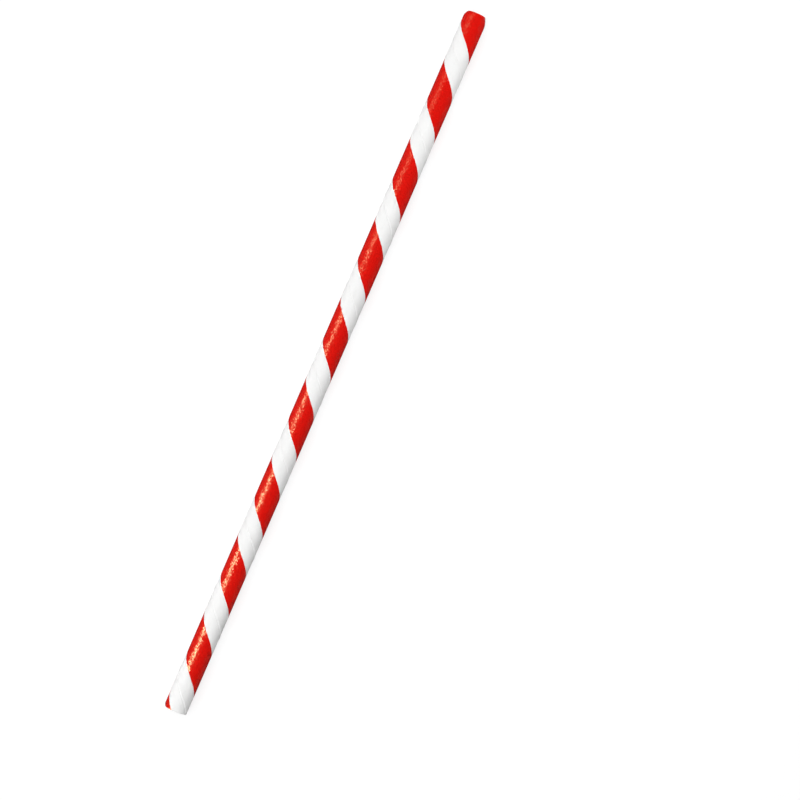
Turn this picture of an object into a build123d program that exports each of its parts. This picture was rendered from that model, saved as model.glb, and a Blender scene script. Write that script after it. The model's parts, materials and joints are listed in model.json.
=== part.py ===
from build123d import *
import os

# Paper drinking straw: one tube of spiral-wound paper, cut square at both ends.
# The straw lies along X on the plane z = 0, with the origin under the middle of its length.

# Driving sizes of the tube, in millimetres
straw_length = 197.0
outer_diameter = 6.3
wall_thickness = 0.4

# How deep the soft paper is flattened along the line that the straw lies on, in millimetres
flat_depth = 0.06

# Radii of the tube, the height of its axis and the ends of its length
outer_radius = outer_diameter / 2
bore_radius = outer_radius - wall_thickness
axis_height = outer_radius - flat_depth
end_x = straw_length / 2

# The open tube, with a narrow flat where it meets the surface that it lies on
with BuildPart() as paper_straw:
    with BuildSketch(Plane.YZ.offset(-end_x)):
        with Locations((0, axis_height)):
            Circle(outer_radius)
            Circle(bore_radius, mode=Mode.SUBTRACT)
        Rectangle(outer_diameter, flat_depth, align=(Align.CENTER, Align.MAX), mode=Mode.SUBTRACT)
    extrude(amount=straw_length)

paper_straw.part.label = "paper_straw"

os.makedirs("parts", exist_ok=True)
export_step(paper_straw.part, "parts/paper_straw.step")
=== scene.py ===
import json
import math

import bpy
import numpy as np
from mathutils import Matrix, Vector


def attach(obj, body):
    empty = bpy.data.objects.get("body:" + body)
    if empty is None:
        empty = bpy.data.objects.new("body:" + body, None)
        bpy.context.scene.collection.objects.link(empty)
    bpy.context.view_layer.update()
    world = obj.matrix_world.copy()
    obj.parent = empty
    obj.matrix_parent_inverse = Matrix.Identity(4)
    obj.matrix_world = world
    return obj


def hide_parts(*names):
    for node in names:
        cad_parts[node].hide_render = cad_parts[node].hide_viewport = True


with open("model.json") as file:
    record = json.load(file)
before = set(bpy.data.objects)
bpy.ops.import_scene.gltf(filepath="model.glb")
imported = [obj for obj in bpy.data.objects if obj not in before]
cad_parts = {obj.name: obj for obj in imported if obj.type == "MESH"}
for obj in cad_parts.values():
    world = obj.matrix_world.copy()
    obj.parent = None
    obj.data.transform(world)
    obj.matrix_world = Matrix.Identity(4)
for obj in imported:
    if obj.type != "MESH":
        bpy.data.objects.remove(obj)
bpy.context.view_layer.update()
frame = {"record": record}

# One millimetre in metres, and the middle of a range from nought to one
MM = 0.001
centre_share = 0.5

# The tube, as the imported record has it
mounts = {mount["name"]: mount for mount in frame["record"]["mounts"]}
straw_length = mounts["outer_wall"]["dims"]["length_mm"] * MM
outer_radius = mounts["outer_wall"]["dims"]["r_mm"] * MM
inner_radius = mounts["bore"]["dims"]["r_mm"] * MM
axis_height = mounts["bore"]["pos_m"][2]
wall_thickness = outer_radius - inner_radius
half_length = straw_length / 2
circumference = 2 * math.pi * outer_radius

# The winding: a left-handed spiral of one paper ribbon, whose seam crosses the top line near the middle
winding_pitch = 22.4 * MM
seam_top_crossing = -4.48 * MM
ribbon_width = winding_pitch * circumference / math.hypot(winding_pitch, circumference)

# The printed stripe's edges and the inner ply's seam, as shares of the ribbon from its outer seam
stripe_start_share = 0.241
stripe_end_share = 0.7545
inner_seam_share = 0.5

# The winding runs a little ahead and behind along the straw
drift_height = 0.36 * MM
drift_length = 138.0 * MM
drift_crest = 62.0 * MM

# The print's edges waver: each wave has its radians per millimetre along the straw, and its start
print_wobble = 0.03 * MM
wobble_waves = ((2.9, 0), (5.3, 1), (1.3, 2))

# The wall waves slowly: waves in one turn round it, radians per millimetre along it, and start
wave_height = 0.008 * MM
wave_fade_length = 2.6 * MM
wall_waves = ((3, 0.11, 0), (2, -0.07, 1))

# The seams' sections: distance across the ribbon and height over the paper, both in millimetres
outer_seam_section = (
    (-1.2, 0.0),
    (-0.5, -0.006),
    (-0.25, -0.016),
    (-0.14, -0.034),
    (-0.1, -0.045),
    (0.1, 0.07),
    (0.15, 0.08),
    (0.22, 0.078),
    (0.35, 0.062),
    (0.55, 0.04),
    (0.85, 0.018),
    (1.2, 0.005),
    (1.8, 0.0),
)
inner_seam_section = (
    (-0.4, 0.0),
    (-0.11, 0.004),
    (-0.08, 0.06),
    (0.08, 0.06),
    (0.11, 0.004),
    (0.4, 0.0),
)

# The cut ends: rounded rims, and fine lines between the plies
rim_round = 0.07 * MM
inner_rim_round = 0.04 * MM
rim_steps = 4
rim_support = 0.05 * MM
ply_line_shares = (1 / 3, 2 / 3)
ply_line_half = 0.012 * MM
ply_line_depth = 0.025 * MM

# The ends are pressed in a little: which end along X, which side along Y, how deep and over what length
end_dents = (
    (1, -1, 0.5 * MM, 2.6 * MM),
    (1, 1, 0.6 * MM, 1.3 * MM),
    (-1, 1, 0.35 * MM, 0.9 * MM),
)
dent_power = 1.6
dent_side_power = 2

# The mesh: closer rows near the ends, and columns no nearer than a share of their usual distance
outer_rows = 384
inner_rows = 192
end_rows = 16
end_row_step = 0.18 * MM
filler_columns = 84
least_gap_share = 1 / 3
sharp_angle = math.radians(40)

# The layout of the unrolled surface on the baked picture
bake_strips = 8
bake_columns = 3
bake_rows = math.ceil(bake_strips / bake_columns)
bake_gap = 0.35 * MM
inner_bake_share = 0.5
end_bake_shares = {"low_end": 0.27, "high_end": 0.73}

# The papers: two close tones, ranges of roughness and gloss, and how finely and how far the surface tips
plain_tint = (1, 1, 1)
paper_looks = {
    "white_paper": {
        "tones": ((0.86, 0.86, 0.855), (0.9, 0.9, 0.895)),
        "roughness": (0.5, 0.7),
        "mottle_grain": 0.6 * MM,
        "gloss": (0.02, 0.04),
        "tint": plain_tint,
        "tooth_grain": 0.16 * MM,
        "tooth_tilt": 0.12,
        "speck_size": 0.34 * MM,
        "speck_tilt": 0.01,
    },
    "red_print": {
        "tones": ((0.685, 0.0055, 0.0035), (0.745, 0.008, 0.005)),
        "roughness": (0.21, 0.29),
        "mottle_grain": 0.5 * MM,
        "gloss": (0.1, 0.95),
        "tint": (1, 0.93, 0.5),
        "tooth_grain": 0.31 * MM,
        "tooth_tilt": 0.3,
        "speck_size": 0.34 * MM,
        "speck_tilt": 0.3,
    },
    "cut_edge": {
        "tones": ((0.74, 0.72, 0.68), (0.84, 0.82, 0.78)),
        "roughness": (0.85, 0.95),
        "mottle_grain": 0.08 * MM,
        "gloss": (0.15, 0.25),
        "tint": plain_tint,
        "tooth_grain": 0.06 * MM,
        "tooth_tilt": 0.5,
        "speck_size": 0.1 * MM,
        "speck_tilt": 0.1,
    },
    "inner_paper": {
        "tones": ((0.84, 0.83, 0.81), (0.88, 0.87, 0.85)),
        "roughness": (0.7, 0.9),
        "mottle_grain": 0.5 * MM,
        "gloss": (0.2, 0.3),
        "tint": plain_tint,
        "tooth_grain": 0.14 * MM,
        "tooth_tilt": 0.2,
        "speck_size": 0.34 * MM,
        "speck_tilt": 0.03,
    },
}
mottle_detail = 3
tooth_detail = 2

# The floor: its side in metres, its tone to the straw, the share of light that the camera sees shadow in
floor_side = 8.0
floor_tone = 0.92
floor_shade_share = 0.2

# The floor's own glow to the camera: its level near the straw and far off, and those distances in metres
floor_glow = 0.83
far_floor_glow = 1.0
floor_near = 0.25
floor_far = 0.9

# The world: an even pale light, which is dimmer in the gloss and white to the camera
world_level = 0.055
world_ray_levels = {"Is Glossy Ray": 0.02, "Is Camera Ray": 1.0}

# The lamps, in metres and degrees: each leans from straight up towards +Y and faces the straw's axis
lamp_looks = {
    "softbox": {"along": -0.22, "lean": 18.0, "distance": 0.7, "size": (1.6, 0.6), "radiance": 3.02},
    "fill": {"along": 0.25, "lean": -65.0, "distance": 0.21, "size": (0.15, 0.15), "radiance": 4.6},
    "strip": {"along": -0.235, "lean": 44.0, "distance": 0.6, "size": (0.42, 0.2), "radiance": 30.0},
    "strip_end": {"along": 0.19, "lean": 44.0, "distance": 0.6, "size": (0.43, 0.2), "radiance": 1.6},
}

# The lamps that show in the gloss alone, while the others light the paper alone
glossy_lamps = ("strip", "strip_end")

# The camera: its place and lens, and its turn, which makes the straw lean to the right as in the photo
camera_place = Vector((-1.3 * MM, -21.56 * MM, 576.0 * MM))
camera_turn = math.radians(23.457)
camera_lens = 99.1
camera_sensor = 36.0
camera_near = 0.01
camera_far = 20.0


def section_height(shares, middle_share, section):
    """Height of a seam's section at each share of the ribbon."""
    across = ((shares - middle_share + centre_share) % 1 - centre_share) * ribbon_width / MM
    distances = [point[0] for point in section]
    heights = [point[1] for point in section]
    return np.interp(across, distances, heights, left=0, right=0) * MM


def column_shares():
    """The mesh's columns as shares of the ribbon: each follows the winding from end to end."""
    outer = np.array([point[0] for point in outer_seam_section]) * MM / ribbon_width
    inner = inner_seam_share + np.array([point[0] for point in inner_seam_section]) * MM / ribbon_width
    marks = np.concatenate([inner, [stripe_start_share, stripe_end_share]])
    filler = np.linspace(outer[-1], 1 + outer[0], filler_columns)[1:-1]
    nearest = np.abs(filler[:, None] - marks).min(axis=1)
    kept = filler[nearest > least_gap_share / filler_columns]
    return np.sort(np.concatenate([outer % 1, marks, kept]))


def end_section():
    """The cut end from its outer to its inner rim, as (depth into the wall, distance from the end)."""
    turns = np.linspace(0, math.pi / 2, rim_steps + 1)
    points = [(rim_round * (1 - math.cos(a)), rim_round * (1 - math.sin(a))) for a in turns]
    for share in ply_line_shares:
        middle = share * wall_thickness
        points += [(middle - ply_line_half, 0), (middle, ply_line_depth), (middle + ply_line_half, 0)]
    for a in turns[::-1]:
        rim = inner_rim_round
        points.append((wall_thickness - rim * (1 - math.cos(a)), rim * (1 - math.sin(a))))
    return points


def places_along(last, count):
    """Places from -last to last along the tube, closer together near both ends."""
    close = np.arange(end_rows) * end_row_step
    middle_last = last - end_rows * end_row_step
    middle = np.linspace(-middle_last, middle_last, count + 1)
    return np.concatenate([close - last, middle, last - close[::-1]])


def loops():
    """The mesh's loops round the tube, out along it and back inside: x, depth into the wall, and part."""
    section = end_section()
    outer = places_along(half_length - rim_round - rim_support, outer_rows)
    inner = places_along(half_length - inner_rim_round - rim_support, inner_rows)
    found = [(x, 0, "outer") for x in outer]
    found += [(half_length - inset, depth, "high_end") for depth, inset in section]
    found += [(x, wall_thickness, "inner") for x in inner[::-1]]
    found += [(inset - half_length, depth, "low_end") for depth, inset in section[::-1]]
    return [np.array(column) for column in zip(*found)]


def straw_points(rows, shares):
    """The points of one closed mesh: a grid of loops round the tube and columns along the winding."""
    x = rows[0][:, None]
    depth = rows[1][:, None]
    wobble = sum(np.sin(x / MM * rate + start) for rate, start in wobble_waves) / len(wobble_waves)
    on_edge = np.isin(shares, (stripe_start_share, stripe_end_share))
    phase = shares + on_edge * wobble * print_wobble / ribbon_width
    drift = drift_height * np.cos(2 * math.pi * (x - drift_crest) / drift_length)
    turn = 2 * math.pi * (phase - (x - drift - seam_top_crossing) / winding_pitch)

    wave = sum(np.sin(count * turn + x / MM * rate + start) for count, rate, start in wall_waves)
    wave_fade = np.clip((half_length - np.abs(x)) / wave_fade_length, 0, 1)
    outer = outer_radius + section_height(shares, 0, outer_seam_section) + wave * wave_height * wave_fade
    inner = inner_radius + section_height(shares, inner_seam_share, inner_seam_section)
    radius = outer - depth / wall_thickness * (outer - inner)
    y = -radius * np.sin(turn)
    z = axis_height + radius * np.cos(turn)

    for end, side, dent_depth, dent_length in end_dents:
        near = np.clip((end * x - half_length + dent_length) / dent_length, 0, 1) ** dent_power
        y = y - side * dent_depth * near * np.clip(-side * np.sin(turn), 0, 1) ** dent_side_power
    on_table = np.where(depth < wall_thickness / 2, np.maximum(z, 0), z)
    return np.stack(np.broadcast_arrays(x, y, on_table), axis=-1)


def grid_faces(row_count, column_count):
    """Quads of a grid that closes on itself both ways, as the rows and the columns of their corners."""
    i, j = np.meshgrid(np.arange(row_count), np.arange(column_count), indexing="ij")
    i = i.ravel()
    j = j.ravel()
    rows = np.stack([i, i, (i + 1) % row_count, (i + 1) % row_count], axis=1)
    columns = np.stack([j, j + 1, j + 1, j], axis=1)
    return rows, columns


def bake_places(rows, shares, face_rows, face_columns):
    """Where each corner lies on the baked picture, as shares of the picture's side."""
    x, depth, part = rows
    parts = part[face_rows]
    corner_x = x[face_rows]
    corner_share = np.append(shares, 1 + shares[0])[face_columns]
    middle_x = corner_x.mean(axis=1)[:, None]

    # The outside, in strips along the straw
    strip = straw_length / bake_strips
    cell = (strip + bake_gap, circumference + bake_gap)
    index = np.clip((middle_x + half_length) // strip, 0, bake_strips - 1)
    u = (index % bake_columns) * cell[0] + corner_x + half_length - index * strip
    v = (index // bake_columns) * cell[1] + corner_share * circumference

    # The inside, in two halves above the strips and at a smaller scale
    half = (middle_x > 0).astype(int)
    inner_round = 2 * math.pi * inner_radius
    inner_u = bake_gap + (corner_x + half_length - half * half_length) * inner_bake_share
    inner_v = (half * (inner_round + bake_gap) + corner_share * inner_round) * inner_bake_share
    is_inner = (parts == "inner").any(axis=1)[:, None]
    u = np.where(is_inner, inner_u, u)
    v = np.where(is_inner, bake_rows * cell[1] + inner_v, v)

    # The cut ends, as flat rings in the cell after the last strip
    inset = half_length - np.abs(x)
    flat_radius = (outer_radius - depth - np.where(depth < wall_thickness / 2, -1, 1) * inset)[face_rows]
    angle = 2 * math.pi * corner_share
    middle_v = (bake_strips // bake_columns) * cell[1] + cell[1] / 2
    for name, share in end_bake_shares.items():
        at_end = (parts == name).any(axis=1)[:, None]
        middle_u = (bake_strips % bake_columns) * cell[0] + share * cell[0]
        u = np.where(at_end, middle_u + flat_radius * np.cos(angle), u)
        v = np.where(at_end, middle_v + flat_radius * np.sin(angle), v)
    side = bake_columns * cell[0]
    return np.stack([u / side, v / side], axis=-1)


def face_slots(rows, shares, face_rows, face_columns):
    """Which of the papers each face shows, as its place in their table."""
    depth = rows[1][face_rows]
    parts = rows[2][face_rows]
    middle = np.append(shares, 1 + shares[0])[face_columns].mean(axis=1)
    inside = (parts == "inner").any(axis=1)
    ends = ((parts == "low_end") | (parts == "high_end")).any(axis=1)
    cut = ends & (depth.max(axis=1) > rim_round / 2) & ~inside
    printed = (middle > stripe_start_share) & (middle < stripe_end_share)
    order = list(paper_looks)
    slots = [order.index(name) for name in ("inner_paper", "cut_edge", "red_print")]
    return np.select([inside, cut, printed], slots, order.index("white_paper")).astype(np.int32)


def build_straw(materials):
    """The straw as one mesh, with its papers and its place on the baked picture."""
    rows = loops()
    shares = column_shares()
    points = straw_points(rows, shares)
    row_count, column_count = points.shape[:2]
    face_rows, face_columns = grid_faces(row_count, column_count)
    corners = face_rows * column_count + face_columns % column_count
    mesh = bpy.data.meshes.new("paper_straw_skin")
    mesh.from_pydata(points.reshape(-1, 3), [], corners.tolist())
    for material in materials:
        mesh.materials.append(material)
    mesh.polygons.foreach_set("material_index", face_slots(rows, shares, face_rows, face_columns))
    mesh.polygons.foreach_set("use_smooth", np.ones(len(corners), dtype=bool))
    bake = mesh.uv_layers.new(name="OFBake")
    places = bake_places(rows, shares, face_rows, face_columns)
    bake.data.foreach_set("uv", places.astype(np.float32).ravel())
    mesh.update()
    mesh.validate()
    mesh.set_sharp_from_angle(angle=sharp_angle)
    piece = bpy.data.objects.new("paper_straw_skin", mesh)
    bpy.context.collection.objects.link(piece)
    return piece


def new_material(name):
    """A new material, with its nodes and their links."""
    material = bpy.data.materials.new(name)
    material.use_nodes = True
    return material, material.node_tree.nodes, material.node_tree.links


def texture(nodes, links, kind, grain):
    """A texture of a kind at a grain, fixed to the object."""
    place = nodes.new("ShaderNodeTexCoord")
    node = nodes.new(kind)
    node.inputs["Scale"].default_value = 1 / grain
    links.new(place.outputs["Object"], node.inputs["Vector"])
    return node


def ranged(nodes, links, share, limits):
    """A value between two limits, at a share that changes over the surface."""
    span = nodes.new("ShaderNodeMapRange")
    span.inputs["To Min"].default_value = limits[0]
    span.inputs["To Max"].default_value = limits[1]
    links.new(share, span.inputs["Value"])
    return span


def vector_math(nodes, links, operation, *inputs):
    """A node that works on vectors, each a socket of another node."""
    node = nodes.new("ShaderNodeVectorMath")
    node.operation = operation
    for socket, value in zip(node.inputs, inputs):
        links.new(value, socket)
    return node


def mixed_tones(nodes, links, share, tones):
    """A colour between two tones, at a share that changes over the surface."""
    mix = nodes.new("ShaderNodeMix")
    mix.data_type = "RGBA"
    for socket, tone in zip("AB", tones):
        mix.inputs[socket].default_value = (*tone, 1)
    links.new(share, mix.inputs["Factor"])
    return mix.outputs["Result"]


def tilt(nodes, links, colour, strength):
    """A small vector that points every way alike, from a random colour."""
    centred = vector_math(nodes, links, "SUBTRACT", colour)
    centred.inputs[1].default_value = (centre_share, centre_share, centre_share)
    scaled = vector_math(nodes, links, "SCALE", centred.outputs[0])
    scaled.inputs["Scale"].default_value = strength
    return scaled.outputs[0]


def paper_material(name, look):
    """Paper with a soft mottle, a fine tooth and small specks that shine more or less."""
    material, nodes, links = new_material(name)
    shader = nodes["Principled BSDF"]
    shader.inputs["Specular Tint"].default_value = (*look["tint"], 1)

    # The tone and the roughness shift over the mottle
    mottle = texture(nodes, links, "ShaderNodeTexNoise", look["mottle_grain"])
    mottle.inputs["Detail"].default_value = mottle_detail
    tone = mixed_tones(nodes, links, mottle.outputs["Fac"], look["tones"])
    links.new(tone, shader.inputs["Base Color"])
    roughness = ranged(nodes, links, mottle.outputs["Fac"], look["roughness"])
    links.new(roughness.outputs[0], shader.inputs["Roughness"])

    # The gloss changes from speck to speck
    specks = texture(nodes, links, "ShaderNodeTexVoronoi", look["speck_size"])
    channels = nodes.new("ShaderNodeSeparateColor")
    links.new(specks.outputs["Color"], channels.inputs[0])
    gloss = ranged(nodes, links, channels.outputs[0], look["gloss"])
    links.new(gloss.outputs[0], shader.inputs["Specular IOR Level"])

    # The surface tips with the tooth and with the specks
    tooth = texture(nodes, links, "ShaderNodeTexNoise", look["tooth_grain"])
    tooth.inputs["Detail"].default_value = tooth_detail
    normal = nodes.new("ShaderNodeNewGeometry").outputs["Normal"]
    for source, strength in ((tooth, look["tooth_tilt"]), (specks, look["speck_tilt"])):
        tipped = tilt(nodes, links, source.outputs["Color"], strength)
        normal = vector_math(nodes, links, "ADD", normal, tipped).outputs[0]
    links.new(vector_math(nodes, links, "NORMALIZE", normal).outputs[0], shader.inputs["Normal"])
    return material


def floor_material():
    """White to the camera, with the straw's soft shadow, and still white far away."""
    material, nodes, links = new_material("floor")
    nodes.clear()
    seen = nodes.new("ShaderNodeLightPath").outputs["Is Camera Ray"]
    matte = nodes.new("ShaderNodeBsdfDiffuse")
    tones = [(level, level, level) for level in (floor_tone, floor_shade_share)]
    links.new(mixed_tones(nodes, links, seen, tones), matte.inputs["Color"])

    place = nodes.new("ShaderNodeNewGeometry").outputs["Position"]
    distance = vector_math(nodes, links, "LENGTH", place).outputs["Value"]
    rise = ranged(nodes, links, distance, (floor_glow, far_floor_glow))
    rise.inputs["From Min"].default_value = floor_near
    rise.inputs["From Max"].default_value = floor_far
    level = nodes.new("ShaderNodeMath")
    level.operation = "MULTIPLY"
    links.new(seen, level.inputs[0])
    links.new(rise.outputs[0], level.inputs[1])
    glow = nodes.new("ShaderNodeEmission")
    links.new(level.outputs[0], glow.inputs["Strength"])

    both = nodes.new("ShaderNodeAddShader")
    links.new(matte.outputs[0], both.inputs[0])
    links.new(glow.outputs[0], both.inputs[1])
    result = nodes.new("ShaderNodeOutputMaterial")
    links.new(both.outputs[0], result.inputs["Surface"])
    return material


def build_floor():
    """The floor that the straw lies on, which doesn't show in the gloss."""
    bpy.ops.mesh.primitive_plane_add(size=floor_side)
    plane = bpy.context.object
    plane.name = "floor"
    plane.data.materials.append(floor_material())
    plane.visible_glossy = False
    return plane


def even_light(nodes, strength):
    """White light of one strength from all round."""
    light = nodes.new("ShaderNodeBackground")
    light.inputs["Color"].default_value = (1, 1, 1, 1)
    light.inputs["Strength"].default_value = strength
    return light.outputs[0]


def pale_world():
    """The world, at its own level for each kind of ray."""
    world = bpy.data.worlds.new("studio")
    world.use_nodes = True
    nodes = world.node_tree.nodes
    links = world.node_tree.links
    nodes.clear()
    path = nodes.new("ShaderNodeLightPath")
    surface = even_light(nodes, world_level)
    for ray, strength in world_ray_levels.items():
        mix = nodes.new("ShaderNodeMixShader")
        links.new(path.outputs[ray], mix.inputs[0])
        links.new(surface, mix.inputs[1])
        links.new(even_light(nodes, strength), mix.inputs[2])
        surface = mix.outputs[0]
    result = nodes.new("ShaderNodeOutputWorld")
    links.new(surface, result.inputs["Surface"])
    return world


def soft_lamp(name, look):
    """A rectangular lamp that faces the straw's axis, with one side along the straw."""
    glossy = name in glossy_lamps
    length, width = look["size"]
    data = bpy.data.lights.new(name, "AREA")
    data.shape = "RECTANGLE"
    data.size = length
    data.size_y = width
    data.energy = look["radiance"] * math.pi * length * width
    data.cycles.use_multiple_importance_sampling = glossy
    lamp = bpy.data.objects.new(name, data)
    lean = math.radians(look["lean"])
    away = Vector((0, math.sin(lean), math.cos(lean)))
    across = Vector((0, math.cos(lean), -math.sin(lean)))
    turned = Matrix((Vector((1, 0, 0)), across, away)).transposed().to_4x4()
    aim = Vector((look["along"], 0, axis_height))
    lamp.matrix_world = Matrix.Translation(aim + look["distance"] * away) @ turned
    lamp.visible_camera = False
    lamp.visible_glossy = glossy
    lamp.visible_diffuse = not glossy
    bpy.context.collection.objects.link(lamp)


def camera_above():
    """A camera that looks straight down on the straw."""
    data = bpy.data.cameras.new("camera")
    data.sensor_width = camera_sensor
    data.lens = camera_lens
    data.clip_start = camera_near
    data.clip_end = camera_far
    camera = bpy.data.objects.new("camera", data)
    up = Vector((math.cos(camera_turn), math.sin(camera_turn), 0))
    back = Vector((0, 0, 1))
    axes = Matrix((up.cross(back), up, back)).transposed().to_4x4()
    camera.matrix_world = Matrix.Translation(camera_place) @ axes
    bpy.context.collection.objects.link(camera)
    return camera


straw = build_straw([paper_material(name, look) for name, look in paper_looks.items()])
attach(straw, "root")
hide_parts("paper_straw")

floor = build_floor()
bpy.context.scene.world = pale_world()
for lamp_name, lamp_look in lamp_looks.items():
    soft_lamp(lamp_name, lamp_look)
bpy.context.scene.camera = camera_above()

bpy.context.scene.view_settings.view_transform = "Standard"

bpy.context.view_layer.update()
